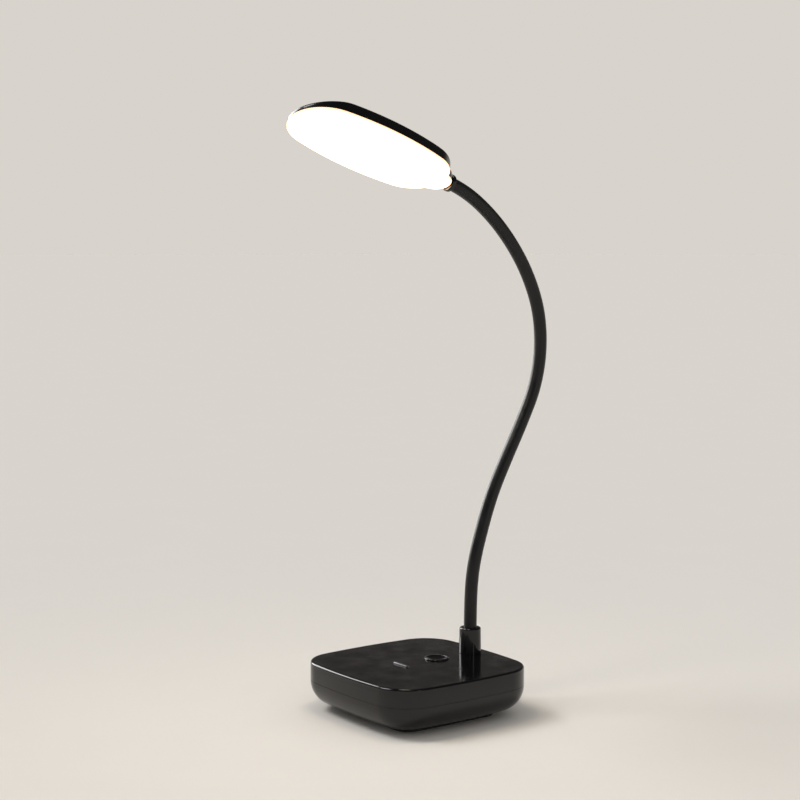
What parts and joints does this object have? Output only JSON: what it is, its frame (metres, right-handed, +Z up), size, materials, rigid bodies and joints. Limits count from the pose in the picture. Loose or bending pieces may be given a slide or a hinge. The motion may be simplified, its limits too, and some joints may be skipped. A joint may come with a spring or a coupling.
{
  "type": "desk lamp",
  "caption": "Cordless desk lamp: rounded weighted base with a push button, sleeved gooseneck of ball-and-cup links, and a flat oval head with a lit opal diffuser.",
  "frame": {"origin": "the middle of the foot pad's underside, on the table", "axes": "+Z up, +Y from the front edge of the base to the neck, -Y towards the lamp head, +X to the lamp's left seen from its front"},
  "size_m": [0.1, 0.1739, 0.3357],
  "materials": {
    "gloss_black_abs": "moulded gloss ABS",
    "black_rubber": "matt rubber",
    "black_sleeve": "satin silicone",
    "zinc_steel": "zinc plated",
    "painted_weight": "grey primer",
    "foam_tape": "foam tape",
    "cell_pouch": "laminated foil",
    "green_board": "solder mask on glass laminate",
    "port_steel": "nickel plated",
    "black_plastic": "moulded nylon",
    "ivory_plastic": "moulded nylon",
    "light_pipe": "frosted polycarbonate",
    "lead_pvc": "PVC insulation",
    "opal_diffuser": "frosted opal polycarbonate",
    "white_board": "white solder mask on aluminium",
    "led_package": "phosphor in a white package",
    "white_film": "reflector film"
  },
  "bodies": {
    "base": {"base_top_cover": "gloss_black_abs", "base_lower_shell": "gloss_black_abs", "foot_pad": "black_rubber", "base_screws": "zinc_steel", "ballast_weight": "painted_weight", "ballast_screws": "zinc_steel", "battery_tape": "foam_tape", "battery_cell": "cell_pouch", "main_board": "green_board", "board_screws": "zinc_steel", "charge_port": "port_steel", "switch_body": "black_plastic", "charge_light_pipe": "light_pipe", "charge_leds": "led_package", "battery_connector": "ivory_plastic", "lead_connector": "ivory_plastic", "collar": "gloss_black_abs", "neck_ferrule": "zinc_steel", "neck_washer": "zinc_steel", "neck_nut": "zinc_steel", "neck_sleeve": "black_sleeve", "neck_lead": "lead_pvc", "battery_lead": "lead_pvc"},
    "power_button": {"power_button": "gloss_black_abs"},
    "switch_plunger": {"switch_plunger": "ivory_plastic"},
    "neck_link_01": {"neck_link_01": "zinc_steel"},
    "neck_link_02": {"neck_link_02": "zinc_steel"},
    "neck_link_03": {"neck_link_03": "zinc_steel"},
    "neck_link_04": {"neck_link_04": "zinc_steel"},
    "neck_link_05": {"neck_link_05": "zinc_steel"},
    "neck_link_06": {"neck_link_06": "zinc_steel"},
    "neck_link_07": {"neck_link_07": "zinc_steel"},
    "neck_link_08": {"neck_link_08": "zinc_steel"},
    "neck_link_09": {"neck_link_09": "zinc_steel"},
    "neck_link_10": {"neck_link_10": "zinc_steel"},
    "neck_link_11": {"neck_link_11": "zinc_steel"},
    "neck_link_12": {"neck_link_12": "zinc_steel"},
    "head": {"head_ferrule": "zinc_steel", "head_ring": "gloss_black_abs", "head_cover": "gloss_black_abs", "diffuser": "opal_diffuser", "led_board": "white_board", "leds": "led_package", "reflector_sheet": "white_film", "head_connector": "ivory_plastic", "neck_screws": "zinc_steel", "led_board_screws": "zinc_steel"}
  },
  "joints": [
    {"name": "lower_bend", "type": "hinge", "parent": "base", "child": "neck_link_01", "pos_m": [0, 0.0384, 0.054], "axis": [1, 0, 0], "range_deg": [-12, 12], "deforming": ["neck_sleeve", "neck_lead"]},
    {"name": "lower_sway", "type": "hinge", "parent": "neck_link_01", "child": "neck_link_02", "pos_m": [0, 0.03997, 0.07645], "axis": [0, 0.984, -0.1779], "range_deg": [-12, 12]},
    {"name": "lower_bend_03", "type": "hinge", "parent": "neck_link_02", "child": "neck_link_03", "pos_m": [0, 0.04636, 0.09802], "axis": [1, 0, 0], "range_deg": [-12, 12]},
    {"name": "lower_sway_04", "type": "hinge", "parent": "neck_link_03", "child": "neck_link_04", "pos_m": [0, 0.05424, 0.11909], "axis": [0, 0.91, -0.4147], "range_deg": [-12, 12]},
    {"name": "lower_bend_05", "type": "hinge", "parent": "neck_link_04", "child": "neck_link_05", "pos_m": [0, 0.06498, 0.13887], "axis": [1, 0, 0], "range_deg": [-12, 12]},
    {"name": "lower_sway_06", "type": "hinge", "parent": "neck_link_05", "child": "neck_link_06", "pos_m": [0, 0.07623, 0.15835], "axis": [0, 0.8788, -0.4772], "range_deg": [-12, 12]},
    {"name": "upper_bend", "type": "hinge", "parent": "neck_link_06", "child": "neck_link_07", "pos_m": [0, 0.08644, 0.1784], "axis": [1, 0, 0], "range_deg": [-12, 12]},
    {"name": "upper_sway", "type": "hinge", "parent": "neck_link_07", "child": "neck_link_08", "pos_m": [0, 0.09073, 0.20049], "axis": [0, 0.9986, -0.0523], "range_deg": [-12, 12]},
    {"name": "upper_bend_09", "type": "hinge", "parent": "neck_link_08", "child": "neck_link_09", "pos_m": [0, 0.08877, 0.2229], "axis": [1, 0, 0], "range_deg": [-12, 12]},
    {"name": "upper_sway_10", "type": "hinge", "parent": "neck_link_09", "child": "neck_link_10", "pos_m": [0, 0.08016, 0.24369], "axis": [0, 0.8788, 0.4772], "range_deg": [-12, 12]},
    {"name": "upper_bend_11", "type": "hinge", "parent": "neck_link_10", "child": "neck_link_11", "pos_m": [0, 0.06742, 0.26223], "axis": [1, 0, 0], "range_deg": [-12, 12]},
    {"name": "upper_sway_12", "type": "hinge", "parent": "neck_link_11", "child": "neck_link_12", "pos_m": [0, 0.05165, 0.27828], "axis": [0, 0.6461, 0.7632], "range_deg": [-12, 12]},
    {"name": "upper_bend_13", "type": "hinge", "parent": "neck_link_12", "child": "head", "pos_m": [0, 0.03322, 0.29119], "axis": [1, 0, 0], "range_deg": [-12, 12]},
    {"name": "power_press", "type": "slide", "parent": "base", "child": "power_button", "axis": [0, 0, -1], "range_m": [0, 0.0005], "stiffness_N_per_m": 2600},
    {"name": "switch_press", "type": "slide", "parent": "base", "child": "switch_plunger", "axis": [0, 0, -1], "range_m": [0, 0.0005]}
  ],
  "couplings": [
    {"joint": "lower_bend_03", "follows": "lower_bend", "ratio": 1},
    {"joint": "lower_sway_04", "follows": "lower_sway", "ratio": 1},
    {"joint": "lower_bend_05", "follows": "lower_bend", "ratio": 1},
    {"joint": "lower_sway_06", "follows": "lower_sway", "ratio": 1},
    {"joint": "upper_bend_09", "follows": "upper_bend", "ratio": 1},
    {"joint": "upper_sway_10", "follows": "upper_sway", "ratio": 1},
    {"joint": "upper_bend_11", "follows": "upper_bend", "ratio": 1},
    {"joint": "upper_sway_12", "follows": "upper_sway", "ratio": 1},
    {"joint": "upper_bend_13", "follows": "upper_bend", "ratio": 1},
    {"joint": "switch_press", "follows": "power_press", "ratio": 1}
  ]
}
